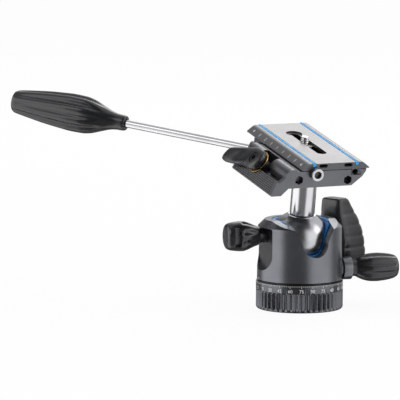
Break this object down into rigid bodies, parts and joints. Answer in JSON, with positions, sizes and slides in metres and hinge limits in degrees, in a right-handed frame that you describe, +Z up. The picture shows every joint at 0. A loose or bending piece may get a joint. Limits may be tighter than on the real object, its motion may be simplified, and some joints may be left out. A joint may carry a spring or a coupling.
{
  "type": "tripod ball head",
  "caption": "Ball head for a tripod, with panning base, drop notch, lever clamp, sliding camera plate and a screwed-in pan handle.",
  "frame": {"origin": "centre of the base's underside, where the tripod's stud enters", "axes": "+Z up along the base's axis, -X towards the friction knob, +X towards the pan lock, and -Y towards the front, where the drop notch stands 5.5 degrees round towards the pan lock"},
  "size_m": [0.2437, 0.2041, 0.1416],
  "materials": {
    "gunmetal": "satin anodised gun-metal",
    "clamp_grey": "satin anodised mid grey",
    "plate_grey": "fine bead-blasted, warm light grey",
    "polished_steel": "polished",
    "plain_steel": "machined",
    "dark_steel": "blackened",
    "brass": "machined",
    "black_plastic": "satin black",
    "black_rubber": "matte black",
    "blue_plastic": "satin bright blue",
    "blue_rubber": "matte bright blue",
    "white_nylon": "natural"
  },
  "bodies": {
    "base": {"base_ring": "gunmetal", "tripod_bush": "plain_steel", "base_grub_screw": "dark_steel", "pan_washer": "white_nylon", "pan_circlip": "dark_steel"},
    "housing": {"housing": "gunmetal", "ball_liner": "blue_plastic", "cup_spring": "plain_steel", "pan_lock_collar": "gunmetal", "main_lock_collar": "gunmetal"},
    "ball_seat": {"ball_pad": "white_nylon"},
    "ball": {"ball": "gunmetal"},
    "clamp": {"post": "polished_steel", "post_bolt": "dark_steel", "clamp_body": "clamp_grey", "clamp_end_screw": "dark_steel", "jaw_pin_near": "plain_steel", "jaw_pin_far": "plain_steel", "jaw_spring_near": "plain_steel", "jaw_spring_far": "plain_steel", "lever_washer": "brass", "lever_screw": "dark_steel", "handle_socket": "plain_steel"},
    "lever": {"clamp_lever": "black_plastic"},
    "jaw": {"clamp_jaw": "clamp_grey"},
    "plate": {"plate": "plate_grey", "grip_cord_left": "blue_rubber", "grip_cord_right": "blue_rubber", "stop_bush": "polished_steel"},
    "screw_carrier": {"screw_washer": "white_nylon"},
    "camera_screw": {"camera_screw": "plain_steel"},
    "handle": {"handle_tube": "polished_steel", "handle_grip": "black_rubber", "grip_cap": "black_plastic"},
    "friction_knob": {"friction_knob": "black_plastic"},
    "friction_spindle": {"friction_spindle": "plain_steel", "friction_plunger": "white_nylon"},
    "pan_lock_knob": {"pan_lock_knob": "black_plastic"},
    "pan_spindle": {"pan_spindle": "plain_steel", "pan_shoe": "brass"},
    "main_lock_paddle": {"main_lock_paddle": "black_plastic"},
    "main_spindle": {"main_spindle": "plain_steel"},
    "lock_cup": {"lock_cup": "brass"}
  },
  "joints": [
    {"name": "pan", "type": "hinge", "parent": "base", "child": "housing", "pos_m": [0, 0, 0.02], "axis": [0, 0, 1], "continuous": true},
    {"name": "ball_lean", "type": "hinge", "parent": "housing", "child": "ball_seat", "pos_m": [0, 0, 0.0476], "axis": [-0.0958, 0.9954, 0], "range_deg": [-18, 18]},
    {"name": "ball_tilt", "type": "hinge", "parent": "ball_seat", "child": "ball", "pos_m": [0, 0, 0.0476], "axis": [0.9954, 0.0958, 0], "range_deg": [-28.5, 79.5]},
    {"name": "ball_turn", "type": "hinge", "parent": "ball", "child": "clamp", "pos_m": [0, 0, 0.0476], "axis": [0.0175, -0.1814, 0.9833], "continuous": true},
    {"name": "clamp_lever_turn", "type": "hinge", "parent": "clamp", "child": "lever", "pos_m": [-0.03807, -0.02533, 0.10523], "axis": [-0.7499, -0.2031, 0.6296], "range_deg": [0, 100]},
    {"name": "jaw_slide", "type": "slide", "parent": "clamp", "child": "jaw", "axis": [-0.9936, -0.1129, -0.0032], "range_m": [0, 0.0021]},
    {"name": "plate_slide", "type": "slide", "parent": "clamp", "child": "plate", "axis": [-0.1116, 0.9769, 0.1822], "range_m": [-0.02, 0]},
    {"name": "screw_slide", "type": "slide", "parent": "plate", "child": "screw_carrier", "axis": [-0.1116, 0.9769, 0.1822], "range_m": [-0.0275, 0.0175]},
    {"name": "camera_screw_turn", "type": "hinge", "parent": "screw_carrier", "child": "camera_screw", "pos_m": [0.00059, -0.00716, 0.11655], "axis": [0.0175, -0.1814, 0.9833], "continuous": true},
    {"name": "handle_turn", "type": "hinge", "parent": "clamp", "child": "handle", "pos_m": [-0.03039, 0.01727, 0.1094], "axis": [-0.7535, 0.644, 0.1322], "continuous": true},
    {"name": "friction_knob_turn", "type": "hinge", "parent": "housing", "child": "friction_knob", "pos_m": [-0.03, 0, 0.051], "axis": [-1, 0, 0], "range_deg": [-72, 360]},
    {"name": "friction_spindle_slide", "type": "slide", "parent": "housing", "child": "friction_spindle", "axis": [-1, 0, 0], "range_m": [-0.00021, 0.00101]},
    {"name": "pan_lock_turn", "type": "hinge", "parent": "housing", "child": "pan_lock_knob", "pos_m": [0.04, 0, 0.0263], "axis": [1, 0, 0], "range_deg": [-60, 360]},
    {"name": "pan_spindle_slide", "type": "slide", "parent": "housing", "child": "pan_spindle", "axis": [1, 0, 0], "range_m": [-0.00018, 0.00101]},
    {"name": "main_lock_turn", "type": "hinge", "parent": "housing", "child": "main_lock_paddle", "pos_m": [0.03011, 0.01881, 0.0343], "axis": [0.848, 0.5299, 0], "range_deg": [-60, 60]},
    {"name": "main_spindle_slide", "type": "slide", "parent": "housing", "child": "main_spindle", "axis": [0.848, 0.5299, 0], "range_m": [-0.00022, 0.00022]},
    {"name": "lock_cup_lift", "type": "slide", "parent": "housing", "child": "lock_cup", "axis": [0, 0, 1], "range_m": [-0.00011, 0.00011]}
  ],
  "couplings": [
    {"joint": "jaw_slide", "follows": "clamp_lever_turn", "m_per_rad": 0.0011459},
    {"joint": "friction_spindle_slide", "follows": "friction_knob_turn", "m_per_rad": 0.00015915},
    {"joint": "pan_spindle_slide", "follows": "pan_lock_turn", "m_per_rad": 0.00015915},
    {"joint": "main_spindle_slide", "follows": "main_lock_turn", "m_per_rad": 0.00019894},
    {"joint": "lock_cup_lift", "follows": "main_lock_turn", "m_per_rad": -0.000095493}
  ]
}
